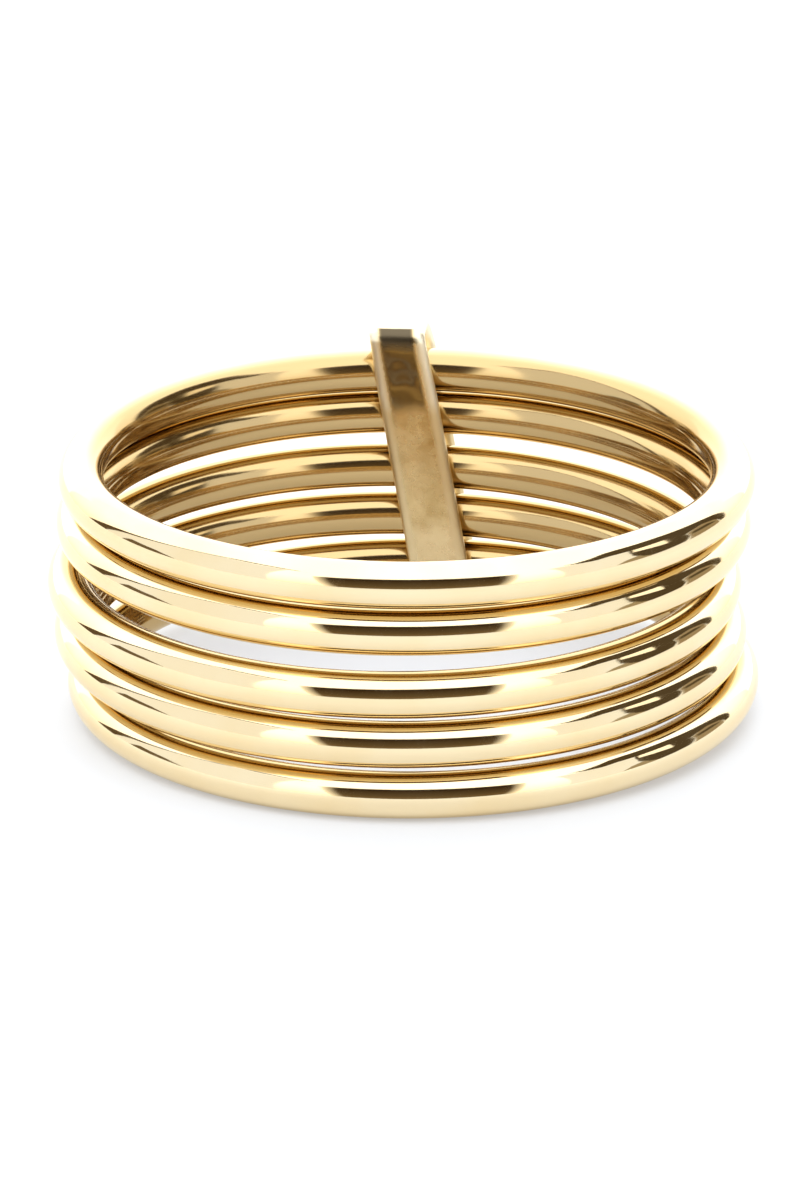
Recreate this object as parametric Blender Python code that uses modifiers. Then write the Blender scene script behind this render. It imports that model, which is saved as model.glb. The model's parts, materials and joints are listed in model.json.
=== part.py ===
# Band ring of five loose round-wire bands, all held by one flat-strip link.
# Units are metres, +Z is up, and the ring lies on its side with the link at the back, at +Y.

import math

import bpy
from mathutils import Matrix, Vector

# Bands
inner_diameter = 0.0170
wire_diameter = 0.00128
band_steps = 88
wire_sides = 16

# Link
link_width = 0.00175
link_thickness = 0.00044
link_front_corner = 0.00050
link_back_corner = 0.00120
link_edge = 0.00020
corner_steps = 6

# Clearances
play_across = 0.00044
play_above = 0.00047
play_below = 0.00004

# Where the link sits on the bands. Its strands slant down to the right and its ends stay level.
link_round_the_ring = math.radians(4.6)
link_slant = math.radians(10.4)
link_back_lean = math.radians(2.4)

# How the bands lie, from the bottom up. Rise is from the wire centre below,
# and rise, sideways and back are shares of the wire's diameter. Pitch lifts
# the front and roll lifts the right side, both in degrees.
band_rows = [
    {"name": "bottom_band", "rise": 0.00, "sideways": 0.29, "back": -0.19, "pitch": -0.06, "roll": 0.31},
    {"name": "fourth_band", "rise": 1.14, "sideways": 0.01, "back": -0.14, "pitch": -0.14, "roll": -0.15},
    {"name": "middle_band", "rise": 1.16, "sideways": -0.12, "back": -0.10, "pitch": -0.38, "roll": -0.05},
    {"name": "second_band", "rise": 1.24, "sideways": 0.08, "back": 0.12, "pitch": -0.06, "roll": -0.06},
    {"name": "top_band", "rise": 1.05, "sideways": 0.15, "back": 0.05, "pitch": 0.02, "roll": -0.08},
]

# Worked out from the sizes above
wire_radius = wire_diameter / 2
band_radius = inner_diameter / 2 + wire_radius
stack_rise = sum(row["rise"] for row in band_rows) * wire_diameter


def clear_scene():
    for item in list(bpy.data.objects):
        bpy.data.objects.remove(item, do_unlink=True)


def make_collection(name):
    collection = bpy.data.collections.new(name)
    bpy.context.scene.collection.children.link(collection)
    return collection


def make_material(name, color, roughness):
    material = bpy.data.materials.new(name)
    material.use_nodes = True
    shader = material.node_tree.nodes["Principled BSDF"]
    shader.inputs["Base Color"].default_value = (*color, 1.0)
    shader.inputs["Metallic"].default_value = 1.0
    shader.inputs["Roughness"].default_value = roughness
    return material


def keep(piece, name, material, collection, parent):
    """Name a finished piece, give it its material and file it under its parent."""
    piece.name = name
    piece.data.name = name
    piece.data.materials.clear()
    piece.data.materials.append(material)
    for old in list(piece.users_collection):
        old.objects.unlink(piece)
    collection.objects.link(piece)
    piece.parent = parent


def make_band(row, height, material, collection, parent):
    """One closed round-wire band, with its origin in the wire where the link holds it."""
    bpy.ops.mesh.primitive_torus_add(
        major_radius=band_radius,
        minor_radius=wire_radius,
        major_segments=band_steps,
        minor_segments=wire_sides,
    )
    band = bpy.context.object
    band.data.transform(Matrix.Translation((0.0, -band_radius, 0.0)))
    bpy.ops.object.shade_smooth()
    keep(band, row["name"], material, collection, parent)
    band.location = (
        row["sideways"] * wire_diameter,
        band_radius + row["back"] * wire_diameter,
        height,
    )
    band.rotation_euler = (-math.radians(row["pitch"]), -math.radians(row["roll"]), 0.0)
    return band


def rounded_outline(curve, half_depth, half_height, inset):
    """Add one closed outline to a flat curve, with tight corners in front and wide ones behind."""
    points = []
    centres = [(1, 1), (-1, 1), (-1, -1), (1, -1)]
    for quarter, (side, end) in enumerate(centres):
        corner = (link_back_corner if side > 0 else link_front_corner) - inset
        centre = Vector((side * (half_depth - corner), end * (half_height - corner)))
        for step in range(corner_steps + 1):
            angle = math.radians(90) * (quarter + step / corner_steps)
            points.append(centre + corner * Vector((math.cos(angle), math.sin(angle))))
    spline = curve.splines.new("POLY")
    spline.points.add(len(points) - 1)
    for spline_point, point in zip(spline.points, points):
        spline_point.co = (point.x, point.y, 0.0, 1.0)
    spline.use_cyclic_u = True


def make_link(material, collection, parent):
    """The closed strip loop, drawn in side view, given its width and softened at its rims."""
    half_depth = (wire_diameter + play_across) / 2
    room_below = wire_radius + play_below
    room_above = wire_radius + play_above
    half_height = (stack_rise + room_below + room_above) / 2

    curve = bpy.data.curves.new("link_outline", "CURVE")
    curve.dimensions = "2D"
    curve.fill_mode = "BOTH"
    curve.extrude = link_width / 2
    rounded_outline(curve, half_depth + link_thickness, half_height + link_thickness, 0.0)
    rounded_outline(curve, half_depth, half_height, link_thickness)
    outline = bpy.data.objects.new("link_outline", curve)
    collection.objects.link(outline)

    bpy.ops.object.select_all(action="DESELECT")
    bpy.context.view_layer.objects.active = outline
    outline.select_set(True)
    bpy.ops.object.convert(target="MESH")
    link = bpy.context.object
    weld = link.modifiers.new("weld", "WELD")
    weld.merge_threshold = 0.00001
    bevel = link.modifiers.new("rims", "BEVEL")
    bevel.width = link_edge
    bevel.segments = 3
    bevel.limit_method = "ANGLE"
    bevel.angle_limit = math.radians(60)
    for name in ("weld", "rims"):
        bpy.ops.object.modifier_apply(modifier=name)
    bpy.ops.object.shade_smooth()

    # Drawn depth along X, height along Y and width along Z turn to Y, Z and X, then X slants with Z.
    link.data.transform(Matrix(((0, 0, 1, 0), (1, 0, 0, 0), (0, 1, 0, 0), (0, 0, 0, 1))))
    slant = math.tan(link_slant)
    link.data.transform(Matrix(((1, 0, -slant, 0), (0, 1, 0, 0), (0, 0, 1, 0), (0, 0, 0, 1))))
    keep(link, "link", material, collection, parent)
    middle = stack_rise / 2 + (room_above - room_below) / 2
    link.location = (
        band_radius * math.sin(link_round_the_ring),
        band_radius * math.cos(link_round_the_ring),
        middle,
    )
    link.rotation_euler = (-link_back_lean, 0.0, -link_round_the_ring)
    return link


def world_points(piece):
    return [piece.matrix_world @ vertex.co for vertex in piece.data.vertices]


def lay_down(stack, link, bottom_band):
    """Tilt the stack until the link's foot and the bottom band's front share one floor."""
    bpy.context.view_layer.update()
    foot = min(world_points(link), key=lambda point: point.z)
    front = min(world_points(bottom_band), key=lambda point: point.y)
    sole = front.z - wire_radius
    stack.rotation_euler.x = math.atan2(sole - foot.z, foot.y - front.y - wire_radius)


def centre_on_floor(stack, pieces):
    """Bring the middle of the ring's base to the world origin."""
    bpy.context.view_layer.update()
    points = [point for piece in pieces for point in world_points(piece)]
    low = Vector([min(point[axis] for point in points) for axis in range(3)])
    high = Vector([max(point[axis] for point in points) for axis in range(3)])
    stack.location -= Vector(((low.x + high.x) / 2, (low.y + high.y) / 2, low.z))
    bpy.context.view_layer.update()


def main():
    clear_scene()
    collection = make_collection("band_ring")
    band_gold = make_material("band_gold", (0.83, 0.60, 0.27), 0.12)
    link_gold = make_material("link_gold", (0.72, 0.50, 0.22), 0.28)

    stack = bpy.data.objects.new("stack", None)
    collection.objects.link(stack)

    bands = []
    height = 0.0
    for row in band_rows:
        height += row["rise"] * wire_diameter
        bands.append(make_band(row, height, band_gold, collection, stack))
    link = make_link(link_gold, collection, stack)

    lay_down(stack, link, bands[0])
    centre_on_floor(stack, [link, *bands])


main()
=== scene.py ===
import json
import math

import bmesh
import bpy
import numpy as np
from mathutils import Matrix, Vector


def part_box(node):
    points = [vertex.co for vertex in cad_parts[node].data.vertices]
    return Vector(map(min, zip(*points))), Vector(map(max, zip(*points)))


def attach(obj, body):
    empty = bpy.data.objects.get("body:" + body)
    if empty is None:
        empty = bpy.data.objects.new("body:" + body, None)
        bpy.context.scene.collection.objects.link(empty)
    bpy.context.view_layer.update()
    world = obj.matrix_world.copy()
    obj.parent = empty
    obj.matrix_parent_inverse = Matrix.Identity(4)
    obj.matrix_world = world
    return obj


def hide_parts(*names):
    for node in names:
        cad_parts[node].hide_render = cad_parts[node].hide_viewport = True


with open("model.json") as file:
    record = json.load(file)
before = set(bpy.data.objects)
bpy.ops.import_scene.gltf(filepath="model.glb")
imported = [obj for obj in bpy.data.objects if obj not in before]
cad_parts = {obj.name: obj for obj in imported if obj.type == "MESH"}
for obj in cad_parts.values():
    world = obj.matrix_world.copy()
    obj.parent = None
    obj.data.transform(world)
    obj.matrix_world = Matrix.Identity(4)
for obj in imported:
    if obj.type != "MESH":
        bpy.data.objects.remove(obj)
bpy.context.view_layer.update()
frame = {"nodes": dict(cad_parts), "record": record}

mm = 0.001
weldDistance = 0.002 * mm


def say(text):
    print("band ring:", text)


def deselectAll():
    if bpy.context.object and bpy.context.object.mode != "OBJECT":
        bpy.ops.object.mode_set(mode="OBJECT")
    bpy.ops.object.select_all(action="DESELECT")


def pickVertices(piece, test):
    # selects the vertices that pass the test, in edit mode
    mesh = bmesh.from_edit_mesh(piece.data)
    for vertex in mesh.verts:
        vertex.select_set(bool(test(vertex.co)))
    mesh.select_flush_mode()
    bmesh.update_edit_mesh(piece.data)


def cadShape(nodeName):
    # middle and flattest direction of a CAD node, from its own points
    mesh = bmesh.new()
    mesh.from_mesh(frame["nodes"][nodeName].data)
    bmesh.ops.remove_doubles(mesh, verts=mesh.verts, dist=weldDistance)
    points = np.array([vertex.co[:] for vertex in mesh.verts])
    mesh.free()
    middle = points.mean(axis=0)
    flattest = np.linalg.svd(points - middle, full_matrices=False)[2][2]
    if flattest[2] < 0:
        flattest = -flattest
    return Vector(middle), Vector(flattest)


# what both golds share; the smear's scale is a multiple of the grain's
goldTexture = {
    "driftDetail": 4.0,
    "driftFrom": 0.32,
    "driftTo": 0.62,
    "smearScale": 2.7,
    "smearDetail": 6.0,
    "smearCoarseness": 0.62,
    "smearFrom": 0.35,
    "smearTo": 0.72,
    "scratchScale": 2600.0,
    "scratchDetail": 5.0,
    "scratchCoarseness": 0.7,
    "scratchHeight": 0.004 * mm,
    "rippleDetail": 1.5,
    "rippleHeight": 0.06 * mm,
}

bandFinish = {
    "gold": (0.93, 0.765, 0.48),
    "deepGold": (0.91, 0.715, 0.405),
    "edgeGold": (1.0, 0.98, 0.93),
    "grainScale": 330.0,
    "roughness": (0.035, 0.10),
    "scratchStretch": (1.0, 1.0, 3.0),
    "scratchDepth": 0.06,
    "rippleDepth": 0.08,
    # painted shade: the browner inside gold stands in for the shade and inter-reflection inside the ring;
    # the higher roughness is real
    "insideShadeGold": (0.61, 0.43, 0.195),
    "insideRoughness": 0.13,
    "insideMask": (0.05, 0.65),
    # painted shade: the browner groove gold stands in for the shade between the wires and under them
    "grooveShadeGold": (0.62, 0.445, 0.19),
    "grooveMask": (0.0, 1.0),
}

# a height is where its mask starts, where it is full, and how far its edge wanders
linkFinish = {
    "gold": (0.74, 0.545, 0.27),
    "deepGold": (0.52, 0.35, 0.135),
    "edgeGold": (1.0, 0.97, 0.91),
    "grainScale": 900.0,
    "roughness": (0.16, 0.38),
    "scratchStretch": (1.0, 1.0, 0.25),
    "scratchDepth": 0.22,
    "rippleDepth": 0.32,
    "wanderScale": 1100.0,
    "wanderDetail": 3.0,
    # painted reflection: the dark panel gold stands in for the shaded bands mirrored in the upper panel
    "panelReflectionGold": (0.23, 0.17, 0.085),
    "panelRoughness": 0.07,
    "panelHeight": (5.9 * mm, 6.5 * mm, 0.6 * mm),
    # painted shade: the very dark bend gold stands in for shade on the upper bend; its higher roughness is
    # real
    "bendShadeGold": (0.13, 0.10, 0.06),
    "bendRoughness": 0.34,
    "bendHeight": (7.85 * mm, 8.15 * mm, 0.3 * mm),
    # painted reflection: the paler foot gold stands in for the bright floor mirrored low on the link
    "footReflectionGold": (0.76, 0.57, 0.30),
    "footHeight": (3.0 * mm, 2.2 * mm, 0.5 * mm),
    # painted highlight: the pale top gold stands in for overhead light caught on the top
    "topHighlightGold": (0.95, 0.82, 0.57),
    "topHeight": (8.505 * mm, 8.535 * mm, 0.02 * mm),
    "underTopHeight": (8.535 * mm, 8.505 * mm, 0.02 * mm),
    "flatMask": (0.40, 0.05),
    # painted highlight: the pale rim golds stand in for light caught on the rims, strongest high up; the
    # rim roughness is wear
    "rimHighlightGold": (0.84, 0.67, 0.38),
    "highRimHighlightGold": (0.98, 0.87, 0.64),
    "rimRoughness": 0.38,
    "rimMask": (0.20, 0.65),
}


# where the mix node takes its two values and gives its result
numberSockets = (2, 3, 0)
colorSockets = (6, 7, 2)


def addNode(nodes, kind, place, **settings):
    node = nodes.new(kind)
    node.location = place
    for name, value in settings.items():
        setattr(node, name, value)
    return node


def addRamp(nodes, stops, place):
    ramp = addNode(nodes, "ShaderNodeValToRGB", place)
    elements = ramp.color_ramp.elements
    elements.remove(elements[1])
    elements[0].position = stops[0][0]
    elements[0].color = (*stops[0][1], 1.0)
    for position, color in stops[1:]:
        elements.new(position).color = (*color, 1.0)
    return ramp


def makeGold(name, finish):
    material = bpy.data.materials.new(name)
    material.use_nodes = True
    nodes, links = material.node_tree.nodes, material.node_tree.links
    shader = nodes["Principled BSDF"]
    shader.inputs["Metallic"].default_value = 1.0
    shader.inputs["Specular Tint"].default_value = (*finish["edgeGold"], 1.0)

    where = addNode(nodes, "ShaderNodeTexCoord", (-1400, 0))
    stretch = addNode(nodes, "ShaderNodeMapping", (-1200, -250))
    stretch.inputs["Scale"].default_value = finish["scratchStretch"]
    links.new(where.outputs["Object"], stretch.inputs["Vector"])

    # colour drifts a little between two golds
    drift = addNode(nodes, "ShaderNodeTexNoise", (-1000, 250))
    drift.inputs["Scale"].default_value = finish["grainScale"]
    drift.inputs["Detail"].default_value = goldTexture["driftDetail"]
    links.new(where.outputs["Object"], drift.inputs["Vector"])
    stops = [(goldTexture["driftFrom"], finish["deepGold"]), (goldTexture["driftTo"], finish["gold"])]
    tones = addRamp(nodes, stops, (-780, 250))
    links.new(drift.outputs["Fac"], tones.inputs["Fac"])
    links.new(tones.outputs["Color"], shader.inputs["Base Color"])

    # handling marks dull it in soft patches
    smear = addNode(nodes, "ShaderNodeTexNoise", (-1000, 0))
    smear.inputs["Scale"].default_value = finish["grainScale"] * goldTexture["smearScale"]
    smear.inputs["Detail"].default_value = goldTexture["smearDetail"]
    smear.inputs["Roughness"].default_value = goldTexture["smearCoarseness"]
    links.new(where.outputs["Object"], smear.inputs["Vector"])
    dull = addNode(nodes, "ShaderNodeMapRange", (-780, 0))
    dull.inputs["From Min"].default_value = goldTexture["smearFrom"]
    dull.inputs["From Max"].default_value = goldTexture["smearTo"]
    dull.inputs["To Min"].default_value = finish["roughness"][0]
    dull.inputs["To Max"].default_value = finish["roughness"][1]
    links.new(smear.outputs["Fac"], dull.inputs["Value"])
    links.new(dull.outputs["Result"], shader.inputs["Roughness"])

    # fine polishing scratches on long slow ripples
    scratches = addNode(nodes, "ShaderNodeTexNoise", (-1000, -250))
    scratches.inputs["Scale"].default_value = goldTexture["scratchScale"]
    scratches.inputs["Detail"].default_value = goldTexture["scratchDetail"]
    scratches.inputs["Roughness"].default_value = goldTexture["scratchCoarseness"]
    links.new(stretch.outputs["Vector"], scratches.inputs["Vector"])
    ripples = addNode(nodes, "ShaderNodeTexNoise", (-1000, -500))
    ripples.inputs["Scale"].default_value = finish["grainScale"]
    ripples.inputs["Detail"].default_value = goldTexture["rippleDetail"]
    links.new(where.outputs["Object"], ripples.inputs["Vector"])
    fine = addNode(nodes, "ShaderNodeBump", (-520, -250))
    fine.inputs["Strength"].default_value = finish["scratchDepth"]
    fine.inputs["Distance"].default_value = goldTexture["scratchHeight"]
    links.new(scratches.outputs["Fac"], fine.inputs["Height"])
    slow = addNode(nodes, "ShaderNodeBump", (-260, -400))
    slow.inputs["Strength"].default_value = finish["rippleDepth"]
    slow.inputs["Distance"].default_value = goldTexture["rippleHeight"]
    links.new(ripples.outputs["Fac"], slow.inputs["Height"])
    links.new(fine.outputs["Normal"], slow.inputs["Normal"])
    links.new(slow.outputs["Normal"], shader.inputs["Normal"])
    return material


def blendSocket(material, socketName, mask, value, place):
    # where the mask is 1 the socket takes the given value in place of what feeds it now
    nodes, links = material.node_tree.nodes, material.node_tree.links
    socket = nodes["Principled BSDF"].inputs[socketName]
    isColor = socketName == "Base Color"
    mix = addNode(nodes, "ShaderNodeMix", place, data_type="RGBA" if isColor else "FLOAT")
    first, second, result = colorSockets if isColor else numberSockets
    links.new(socket.links[0].from_socket, mix.inputs[first])
    mix.inputs[second].default_value = (*value, 1.0) if isColor else value
    links.new(mask, mix.inputs[0])
    links.new(mix.outputs[result], socket)


def heightMask(nodes, links, height, place):
    # 0 at the start height and 1 at the full height, with an uneven edge
    start, full, wander = height
    where = addNode(nodes, "ShaderNodeTexCoord", (place[0] - 800, place[1]))
    split = addNode(nodes, "ShaderNodeSeparateXYZ", (place[0] - 600, place[1] + 100))
    links.new(where.outputs["Object"], split.inputs["Vector"])
    uneven = addNode(nodes, "ShaderNodeTexNoise", (place[0] - 600, place[1] - 100))
    uneven.inputs["Scale"].default_value = linkFinish["wanderScale"]
    uneven.inputs["Detail"].default_value = linkFinish["wanderDetail"]
    links.new(where.outputs["Object"], uneven.inputs["Vector"])
    shift = addNode(nodes, "ShaderNodeMath", (place[0] - 400, place[1]), operation="MULTIPLY_ADD")
    links.new(uneven.outputs["Fac"], shift.inputs[0])
    shift.inputs[1].default_value = wander
    links.new(split.outputs["Z"], shift.inputs[2])
    mask = addNode(nodes, "ShaderNodeMapRange", (place[0] - 200, place[1]))
    mask.interpolation_type = "SMOOTHSTEP"
    mask.inputs["From Min"].default_value = start + wander / 2
    mask.inputs["From Max"].default_value = full + wander / 2
    links.new(shift.outputs["Value"], mask.inputs["Value"])
    return mask.outputs["Result"]


def multiplyMasks(nodes, links, first, second, place):
    both = addNode(nodes, "ShaderNodeMath", place, operation="MULTIPLY")
    links.new(first, both.inputs[0])
    links.new(second, both.inputs[1])
    return both.outputs["Value"]


def attributeMask(nodes, links, name, limits, place):
    mark = addNode(nodes, "ShaderNodeAttribute", (place[0] - 200, place[1]), attribute_name=name)
    mask = addNode(nodes, "ShaderNodeMapRange", place)
    mask.interpolation_type = "SMOOTHSTEP"
    mask.inputs["From Min"].default_value = limits[0]
    mask.inputs["From Max"].default_value = limits[1]
    links.new(mark.outputs["Fac"], mask.inputs["Value"])
    return mask.outputs["Result"]


def dullAndShadeBands(material):
    # the side towards the finger is less polished; the browner gold on it and in the grooves between the
    # wires is painted shade
    nodes, links = material.node_tree.nodes, material.node_tree.links
    inside = attributeMask(nodes, links, "inside", bandFinish["insideMask"], (0, 900))
    groove = attributeMask(nodes, links, "groove", bandFinish["grooveMask"], (0, 1100))
    blendSocket(material, "Base Color", inside, bandFinish["insideShadeGold"], (200, 700))
    blendSocket(material, "Base Color", groove, bandFinish["grooveShadeGold"], (400, 700))
    blendSocket(material, "Roughness", inside, bandFinish["insideRoughness"], (200, 500))


def wearAndPaintLightOnLink(material):
    nodes, links = material.node_tree.nodes, material.node_tree.links
    flat = attributeMask(nodes, links, "rim", linkFinish["flatMask"], (-200, 700))

    # the upper panel is smooth and its bend duller; the panel's dark colour is a painted reflection, the
    # bend's a painted shade, and the pale foot a painted reflection of the floor
    high = heightMask(nodes, links, linkFinish["panelHeight"], (0, 1000))
    bend = heightMask(nodes, links, linkFinish["bendHeight"], (0, 1200))
    low = heightMask(nodes, links, linkFinish["footHeight"], (0, 1400))
    underTop = heightMask(nodes, links, linkFinish["underTopHeight"], (0, 1600))
    face = multiplyMasks(nodes, links, flat, underTop, (200, 1600))
    panel = multiplyMasks(nodes, links, high, face, (400, 1100))
    darkBend = multiplyMasks(nodes, links, bend, face, (400, 1300))
    blendSocket(material, "Base Color", low, linkFinish["footReflectionGold"], (600, 900))
    blendSocket(material, "Base Color", panel, linkFinish["panelReflectionGold"], (800, 900))
    blendSocket(material, "Base Color", darkBend, linkFinish["bendShadeGold"], (1000, 900))
    blendSocket(material, "Roughness", panel, linkFinish["panelRoughness"], (600, 600))
    blendSocket(material, "Roughness", darkBend, linkFinish["bendRoughness"], (700, 600))

    # the rims are worn rougher, and the rims and the top get a painted highlight, paler gold, most of all
    # high up
    edge = attributeMask(nodes, links, "rim", linkFinish["rimMask"], (0, 500))
    top = heightMask(nodes, links, linkFinish["topHeight"], (0, 1800))
    highEdge = multiplyMasks(nodes, links, high, edge, (400, 1500))
    blendSocket(material, "Base Color", edge, linkFinish["rimHighlightGold"], (1100, 900))
    blendSocket(material, "Base Color", highEdge, linkFinish["highRimHighlightGold"], (1200, 900))
    blendSocket(material, "Base Color", top, linkFinish["topHighlightGold"], (1400, 900))
    blendSocket(material, "Roughness", edge, linkFinish["rimRoughness"], (800, 600))


say("materials")
# the band gold carries painted shade inside and in the grooves; the link gold carries painted reflections,
# shade and highlights
bandGold = makeGold("polishedBandGold", bandFinish)
linkGold = makeGold("wornLinkGoldPaintedLight", linkFinish)
dullAndShadeBands(bandGold)
wearAndPaintLightOnLink(linkGold)

bandSettings = {
    "wireRadius": 0.6395 * mm,
    "bandRadius": 9.14 * mm,
    "wireSides": 56,
    "steps": 360,
    # how far down and up the section, in wire radii, the painted groove shade starts and is full
    "grooveBelow": (0.55, 0.95),
    "grooveAbove": (0.86, 0.99),
    "names": ["top_band", "second_band", "middle_band", "fourth_band", "bottom_band"],
}


def bodyOf(nodeName):
    for body, names in frame["record"]["behaviour"]["bodies"].items():
        if nodeName in names:
            return body


def spinWire():
    # one wire section spun into a closed band
    deselectAll()
    bpy.ops.mesh.primitive_circle_add(
        vertices=bandSettings["wireSides"],
        radius=bandSettings["wireRadius"],
        location=(bandSettings["bandRadius"], 0, 0),
        rotation=(math.radians(90), 0, 0),
    )
    wire = bpy.context.object
    bpy.ops.object.transform_apply(location=True, rotation=True, scale=True)
    bpy.ops.object.mode_set(mode="EDIT")
    bpy.ops.mesh.select_all(action="SELECT")
    bpy.ops.mesh.spin(
        steps=bandSettings["steps"],
        angle=math.radians(360),
        center=(0, 0, 0),
        axis=(0, 0, 1),
    )
    bpy.ops.mesh.select_all(action="SELECT")
    bpy.ops.mesh.remove_doubles(threshold=weldDistance)
    bpy.ops.mesh.normals_make_consistent(inside=False)
    bpy.ops.object.mode_set(mode="OBJECT")
    bpy.ops.object.shade_smooth()
    return wire


def share(value, limits):
    # 0 up to the first limit, 1 from the second on
    return min(1.0, max(0.0, (value - limits[0]) / (limits[1] - limits[0])))


def markInsideAndGrooveShade(wire, hasWireAbove):
    # inside: 1 towards the finger, where it is less polished and painted shade goes; groove: 1 where a
    # neighbour or the surface lies close, where painted shade goes
    inside = wire.data.attributes.new("inside", "FLOAT", "POINT")
    groove = wire.data.attributes.new("groove", "FLOAT", "POINT")
    for insideMark, grooveMark, vertex in zip(inside.data, groove.data, wire.data.vertices):
        outward = math.hypot(vertex.co.x, vertex.co.y) - bandSettings["bandRadius"]
        height = vertex.co.z / bandSettings["wireRadius"]
        insideMark.value = max(0.0, -outward / bandSettings["wireRadius"])
        if height < 0:
            grooveMark.value = share(-height, bandSettings["grooveBelow"])
        elif hasWireAbove:
            grooveMark.value = share(height, bandSettings["grooveAbove"])


def makeBands():
    pattern = spinWire()
    for nodeName in bandSettings["names"]:
        band = pattern.copy()
        band.data = pattern.data.copy()
        bpy.context.scene.collection.objects.link(band)
        band.name = nodeName.replace("_band", "") + "WireBand"
        band.data.name = band.name
        # marks where the painted shade goes
        markInsideAndGrooveShade(band, nodeName != "top_band")
        middle, axis = cadShape(nodeName)
        turn = axis.to_track_quat("Z", "Y").to_matrix().to_4x4()
        band.data.transform(Matrix.Translation(middle) @ turn)
        band.data.materials.clear()
        band.data.materials.append(bandGold)
        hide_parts(nodeName)
        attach(band, bodyOf(nodeName))
    bpy.data.objects.remove(pattern, do_unlink=True)


makeBands()
say("five bands")

linkSettings = {
    "width": 1.745 * mm,
    "thickness": 0.436 * mm,
    "panelWidth": 0.78 * mm,
    "halfDepth": 0.862 * mm,
    "halfHeight": 3.8346 * mm,
    "frontCorner": 0.47 * mm,
    "backCorner": 1.20 * mm,
    "topNarrowing": 0.94,
    "narrowingReach": 1.9 * mm,
    "slant": math.radians(10.4),
    "roundTheRing": math.radians(4.6),
    "backLean": math.radians(2.4),
    "stackTilt": math.radians(1.443),
    "sectionPoints": 44,
    "cornerSteps": 18,
    "runStep": 0.3 * mm,
}


def makeLinkSection():
    # flat strip section with long soft rims, at the middle of the front strand
    thick = linkSettings["thickness"]
    rim = (linkSettings["width"] - linkSettings["panelWidth"]) / 2
    deselectAll()
    bpy.ops.mesh.primitive_circle_add(
        vertices=linkSettings["sectionPoints"],
        radius=thick / 2,
        location=(0, 0, 0),
    )
    link = bpy.context.object
    bpy.ops.object.mode_set(mode="EDIT")
    bpy.ops.mesh.select_all(action="SELECT")
    # half a step round, so that no point lies on the middle line
    halfStep = math.radians(180) / linkSettings["sectionPoints"]
    bpy.ops.transform.rotate(
        value=halfStep,
        orient_axis="Z",
        center_override=(0, 0, 0),
    )
    bpy.ops.transform.resize(
        value=(2 * rim / thick, 1, 1),
        center_override=(0, 0, 0),
    )
    for side in (1, -1):
        bpy.ops.mesh.select_all(action="DESELECT")
        pickVertices(link, lambda point: point.x * side > 0)
        bpy.ops.transform.translate(value=(side * linkSettings["panelWidth"] / 2, 0, 0))
    bpy.ops.mesh.select_all(action="SELECT")
    bpy.ops.transform.translate(value=(0, -linkSettings["halfDepth"] - thick / 2, 0))
    return link


def runStraight(way, length):
    steps = math.ceil(length / linkSettings["runStep"])
    for _ in range(steps):
        bpy.ops.mesh.extrude_edges_move(
            TRANSFORM_OT_translate={"value": Vector(way) * (length / steps)},
        )


def turnCorner(centre):
    bpy.ops.mesh.spin(
        steps=linkSettings["cornerSteps"],
        angle=math.radians(90),
        center=centre,
        axis=(1, 0, 0),
    )


def markRims(link):
    # 0 on the flat of the strip, 1 at its edges
    halfPanel = linkSettings["panelWidth"] / 2
    rim = linkSettings["width"] / 2 - halfPanel
    marks = link.data.attributes.new("rim", "FLOAT", "POINT")
    for mark, vertex in zip(marks.data, link.data.vertices):
        mark.value = max(0.0, abs(vertex.co.x) - halfPanel) / rim


def makeLink():
    outerDepth = linkSettings["halfDepth"] + linkSettings["thickness"]
    outerHeight = linkSettings["halfHeight"] + linkSettings["thickness"]
    frontY = linkSettings["frontCorner"] - outerDepth
    frontZ = outerHeight - linkSettings["frontCorner"]
    backY = outerDepth - linkSettings["backCorner"]
    backZ = outerHeight - linkSettings["backCorner"]
    link = makeLinkSection()
    runStraight((0, 0, 1), frontZ)
    turnCorner((0, frontY, frontZ))
    runStraight((0, 1, 0), backY - frontY)
    turnCorner((0, backY, backZ))
    runStraight((0, 0, -1), 2 * backZ)
    turnCorner((0, backY, -backZ))
    runStraight((0, -1, 0), backY - frontY)
    turnCorner((0, frontY, -frontZ))
    runStraight((0, 0, 1), frontZ)
    bpy.ops.mesh.select_all(action="SELECT")
    bpy.ops.mesh.remove_doubles(threshold=weldDistance)
    bpy.ops.mesh.normals_make_consistent(inside=False)
    bpy.ops.object.mode_set(mode="OBJECT")
    markRims(link)

    # the upper bend is a little narrower than the strands
    bpy.ops.object.mode_set(mode="EDIT")
    bpy.ops.mesh.select_all(action="DESELECT")
    pickVertices(link, lambda point: point.z > outerHeight - linkSettings["thickness"])
    bpy.ops.transform.resize(
        value=(linkSettings["topNarrowing"], 1, 1),
        center_override=(0, 0, outerHeight),
        use_proportional_edit=True,
        proportional_edit_falloff="SMOOTH",
        proportional_size=linkSettings["narrowingReach"],
    )
    bpy.ops.object.mode_set(mode="OBJECT")
    bpy.ops.object.shade_smooth()

    # the strands slant and the ends stay level, then it goes to its place round the wires
    slant = Matrix.Identity(4)
    slant[0][2] = -math.tan(linkSettings["slant"])
    turn = (
        Matrix.Rotation(linkSettings["stackTilt"], 4, "X")
        @ Matrix.Rotation(-linkSettings["roundTheRing"], 4, "Z")
        @ Matrix.Rotation(-linkSettings["backLean"], 4, "X")
    )
    link.data.transform(turn @ slant)
    cadBottom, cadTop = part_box("link")
    points = np.array([vertex.co[:] for vertex in link.data.vertices])
    ownMiddle = (points.min(axis=0) + points.max(axis=0)) / 2
    link.data.transform(Matrix.Translation((cadBottom + cadTop) / 2 - Vector(ownMiddle)))
    link.name = "stripLink"
    link.data.name = link.name
    link.data.materials.append(linkGold)
    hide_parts("link")
    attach(link, "link_and_bottom_band")


makeLink()
say("link")

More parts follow.
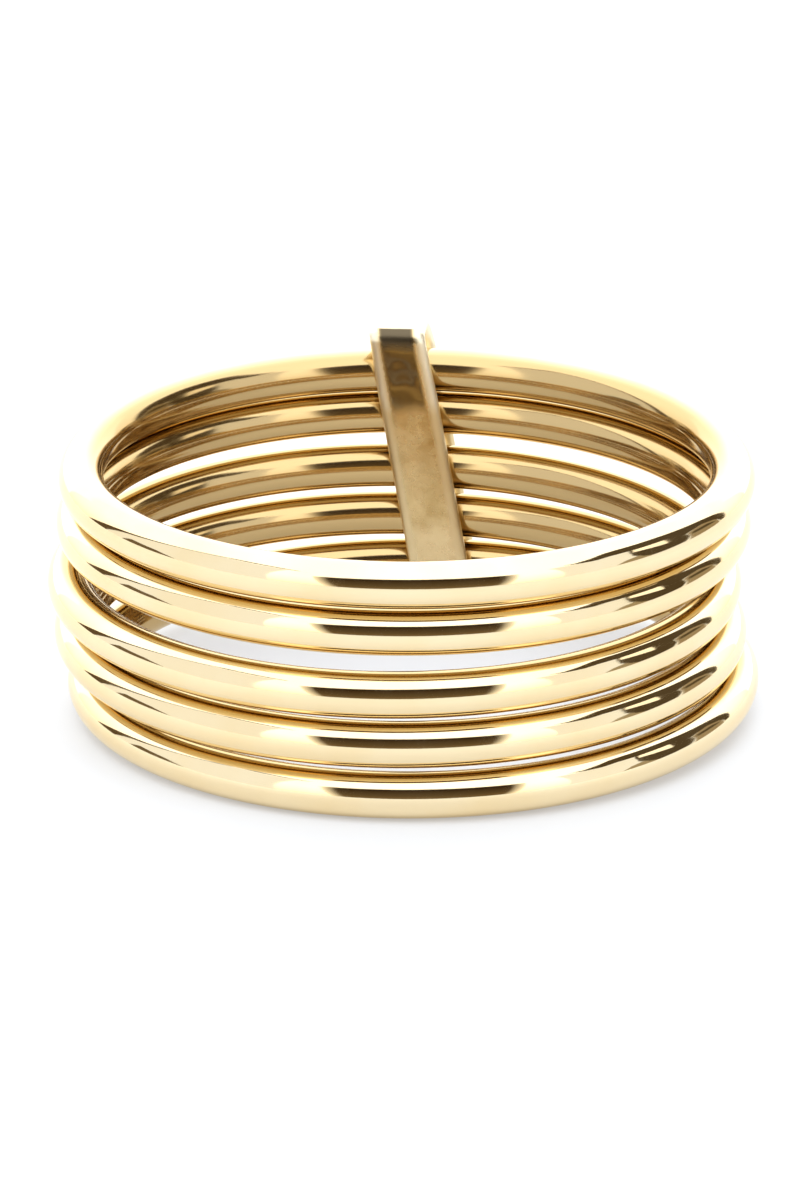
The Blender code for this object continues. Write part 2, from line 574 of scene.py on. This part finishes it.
floorSettings = {
    "size": 1.6,
    "roughness": 0.6,
    "shine": 0.15,
    "underLight": 0.68,
    "tones": [(0.35, (0.50, 0.507, 0.517)), (0.65, (0.515, 0.522, 0.532))],
    "cloudScale": 60.0,
    "grainScale": 2500.0,
    "grainDetail": 3.0,
    "grainDepth": 0.05,
    "grainHeight": 0.02 * mm,
}

# the dark front of the room, mirrored as the strip along each band; a soft-edged plane
frontCard = {
    "distance": 0.55,
    "aimUp": 20.5,
    "aside": 3.2,
    "width": 0.64,
    "height": 0.53,
    "endFade": 0.08,
    "tones": [(0.0, (0.24, 0.18, 0.10)), (0.35, (0.115, 0.078, 0.036)), (0.80, (0.045, 0.026, 0.010)),
              (0.94, (0.020, 0.010, 0.004)), (1.0, (0.9, 0.85, 0.75))],
    "light": (1.3, 1.25, 1.15),
}

# each card: how far off, its glow, and its corners as degrees round from the camera side
# (right is plus) and degrees up
cards = [
    {"name": "leftPanel", "distance": 0.70, "color": (1.06, 1.12, 1.24),
     "corners": [(-114, 0), (-110, 11), (-104, 22), (-99, 32), (-94, 45), (-86, 53), (-50, 53), (-44, 0)]},
    {"name": "leftLine", "distance": 0.56, "color": (0.12, 0.085, 0.05),
     "corners": [(-122, 0), (-117, 7), (-112, 15), (-107, 23), (-102, 31), (-97, 40), (-92, 50),
                 (-84, 57), (-66, 58), (-46, 55), (-46, 53.5), (-66, 55.5), (-84.5, 54), (-91.5, 47),
                 (-96.5, 35.5), (-101, 26), (-105, 18), (-108, 8), (-111, 0)]},
    {"name": "leftDash", "distance": 0.40, "color": (0.17, 0.13, 0.08),
     "corners": [(-102, 0.5), (-98, 11), (-86, 9), (-77, 0.5)]},
    {"name": "rightPanel", "distance": 0.70, "color": (1.08, 1.14, 1.26),
     "corners": [(50, 0), (54, 43), (68, 42), (80, 42), (100, 45), (112, 42), (118, 30), (119, 0)]},
    {"name": "rightDark", "distance": 0.52, "color": (0.085, 0.062, 0.034),
     "corners": [(61, 46.5), (68, 46), (80, 50), (96, 54), (104, 53), (111, 49.5), (117, 45.5), (120, 40),
                 (124, 32), (125, 24), (124, 12), (122, 2), (119, 2), (118, 14), (115, 23), (109, 23),
                 (104, 21), (102, 10), (99, 2), (90, 1), (83, 1), (79, 8), (78, 20), (82, 32),
                 (87, 39), (80, 41), (72, 39), (66, 42)]},
    {"name": "rightBar", "distance": 0.44, "color": (1.5, 1.45, 1.35),
     "corners": [(83, 31), (88, 38), (100, 33), (94, 20)]},
    {"name": "rightStripes", "distance": 0.44, "color": (0.36, 0.29, 0.19),
     "corners": [(101, 1), (104, 20), (109, 23), (115, 23), (118, 14), (118, 1)]},
    {"name": "rightGap", "distance": 0.40, "color": (0.10, 0.075, 0.04),
     "corners": [(104, 13), (106, 19), (114, 17), (117, 9), (109, 12)]},
    {"name": "rightShade", "distance": 0.42, "color": (0.40, 0.34, 0.24),
     "corners": [(69, 1), (73, 10), (79, 15), (80, 8), (84, 1)]},
    {"name": "backGlow", "distance": 0.75, "color": (1.95, 2.05, 2.2),
     "corners": [(140, 1), (140, 27), (220, 27), (220, 1)]},
]


def direction(azimuth, elevation):
    # degrees round from the camera side and degrees up
    around, up = math.radians(azimuth), math.radians(elevation)
    return Vector((math.sin(around) * math.cos(up), -math.cos(around) * math.cos(up), math.sin(up)))


def makeGlow(name, color):
    material = bpy.data.materials.new(name)
    material.use_nodes = True
    nodes, links = material.node_tree.nodes, material.node_tree.links
    nodes.clear()
    glow = addNode(nodes, "ShaderNodeEmission", (0, 0))
    glow.inputs["Color"].default_value = (*color, 1.0)
    material.cycles.emission_sampling = "NONE"
    out = addNode(nodes, "ShaderNodeOutputMaterial", (200, 0))
    links.new(glow.outputs["Emission"], out.inputs["Surface"])
    return material


def stageCard(piece):
    piece.visible_camera = False
    piece.visible_shadow = False


def makeCards():
    for card in cards:
        mesh = bpy.data.meshes.new(card["name"])
        points = [direction(*corner) * card["distance"] for corner in card["corners"]]
        mesh.from_pydata(points, [], [list(range(len(points)))])
        mesh.materials.append(makeGlow(card["name"], card["color"]))
        piece = bpy.data.objects.new(card["name"], mesh)
        bpy.context.scene.collection.objects.link(piece)
        stageCard(piece)


def makeFrontCard():
    deselectAll()
    bpy.ops.mesh.primitive_plane_add(size=1)
    piece = bpy.context.object
    piece.name = "frontCard"
    piece.data.name = piece.name
    piece.location = direction(frontCard["aside"], frontCard["aimUp"]) * frontCard["distance"]
    piece.rotation_euler = (math.radians(90 - frontCard["aimUp"]), 0, math.radians(frontCard["aside"]))
    piece.scale = (frontCard["width"], frontCard["height"], 1)
    bpy.ops.object.transform_apply(location=True, rotation=True, scale=True)

    material = makeGlow("frontCard", frontCard["light"])
    nodes, links = material.node_tree.nodes, material.node_tree.links
    glow = nodes["Emission"]
    where = addNode(nodes, "ShaderNodeUVMap", (-1000, 0))
    split = addNode(nodes, "ShaderNodeSeparateXYZ", (-800, 0))
    links.new(where.outputs["UV"], split.inputs["Vector"])
    rise = addRamp(nodes, frontCard["tones"], (-600, 150))
    links.new(split.outputs["Y"], rise.inputs["Fac"])
    fade = frontCard["endFade"]
    lit, dark = (1, 1, 1), (0, 0, 0)
    stops = [(0.0, lit), (fade, dark), (1 - fade, dark), (1.0, lit)]
    ends = addRamp(nodes, stops, (-600, -150))
    links.new(split.outputs["X"], ends.inputs["Fac"])
    mix = addNode(nodes, "ShaderNodeMix", (-250, 0), data_type="RGBA")
    links.new(ends.outputs["Color"], mix.inputs[0])
    first, second, result = colorSockets
    links.new(rise.outputs["Color"], mix.inputs[first])
    mix.inputs[second].default_value = (*frontCard["light"], 1.0)
    links.new(mix.outputs[result], glow.inputs["Color"])
    piece.data.materials.append(material)
    stageCard(piece)


def makeFloor():
    deselectAll()
    bpy.ops.mesh.primitive_plane_add(size=floorSettings["size"])
    floor = bpy.context.object
    floor.name = "paleFloor"
    material = bpy.data.materials.new("paleFloor")
    material.use_nodes = True
    shader = material.node_tree.nodes["Principled BSDF"]
    shader.inputs["Roughness"].default_value = floorSettings["roughness"]
    shader.inputs["Specular IOR Level"].default_value = floorSettings["shine"]
    shader.inputs["Emission Strength"].default_value = floorSettings["underLight"]
    material.cycles.emission_sampling = "NONE"

    # smooth white card with a faint grain
    nodes, links = material.node_tree.nodes, material.node_tree.links
    where = addNode(nodes, "ShaderNodeTexCoord", (-1000, 0))
    cloud = addNode(nodes, "ShaderNodeTexNoise", (-800, 150))
    cloud.inputs["Scale"].default_value = floorSettings["cloudScale"]
    links.new(where.outputs["Object"], cloud.inputs["Vector"])
    tones = addRamp(nodes, floorSettings["tones"], (-600, 150))
    links.new(cloud.outputs["Fac"], tones.inputs["Fac"])
    links.new(tones.outputs["Color"], shader.inputs["Base Color"])
    links.new(tones.outputs["Color"], shader.inputs["Emission Color"])
    grain = addNode(nodes, "ShaderNodeTexNoise", (-800, -150))
    grain.inputs["Scale"].default_value = floorSettings["grainScale"]
    grain.inputs["Detail"].default_value = floorSettings["grainDetail"]
    links.new(where.outputs["Object"], grain.inputs["Vector"])
    bump = addNode(nodes, "ShaderNodeBump", (-500, -150))
    bump.inputs["Strength"].default_value = floorSettings["grainDepth"]
    bump.inputs["Distance"].default_value = floorSettings["grainHeight"]
    links.new(grain.outputs["Fac"], bump.inputs["Height"])
    links.new(bump.outputs["Normal"], shader.inputs["Normal"])
    floor.data.materials.append(material)


worldSettings = {
    "strength": 1.95,
    "tones": [(0.0, (0.72, 0.71, 0.68)), (0.22, (0.85, 0.86, 0.87)), (0.55, (0.96, 1.0, 1.07))],
}


def makeWorld():
    world = bpy.data.worlds.new("whiteStudio")
    world.use_nodes = True
    nodes, links = world.node_tree.nodes, world.node_tree.links
    background = nodes["Background"]
    background.inputs["Strength"].default_value = worldSettings["strength"]
    where = addNode(nodes, "ShaderNodeTexCoord", (-900, 0))
    split = addNode(nodes, "ShaderNodeSeparateXYZ", (-700, 0))
    links.new(where.outputs["Generated"], split.inputs["Vector"])
    sky = addRamp(nodes, worldSettings["tones"], (-500, 0))
    links.new(split.outputs["Z"], sky.inputs["Fac"])
    links.new(sky.outputs["Color"], background.inputs["Color"])
    bpy.context.scene.world = world


cameraSettings = {
    "ringMiddle": Vector((-0.109, -0.315, 4.089)) * mm,
    "distance": 164.5 * mm,
    "elevation": 18.80,
    "aimBelow": 1.13 * mm,
    "sensor": 36.0,
    "lens": 174.96,
    "clipStart": 0.01,
    "clipEnd": 10.0,
}


def makeCamera():
    data = bpy.data.cameras.new("photoCamera")
    data.sensor_width = cameraSettings["sensor"]
    data.lens = cameraSettings["lens"]
    data.clip_start = cameraSettings["clipStart"]
    data.clip_end = cameraSettings["clipEnd"]
    camera = bpy.data.objects.new("photoCamera", data)
    bpy.context.scene.collection.objects.link(camera)
    middle = cameraSettings["ringMiddle"]
    camera.location = middle + direction(0, cameraSettings["elevation"]) * cameraSettings["distance"]
    aim = middle - Vector((0, 0, cameraSettings["aimBelow"]))
    camera.rotation_euler = (aim - camera.location).to_track_quat("-Z", "Y").to_euler()
    bpy.context.scene.camera = camera


makeFloor()
makeCards()
makeFrontCard()
makeWorld()
makeCamera()
bpy.context.scene.view_settings.view_transform = "Standard"
say("floor, light and camera")
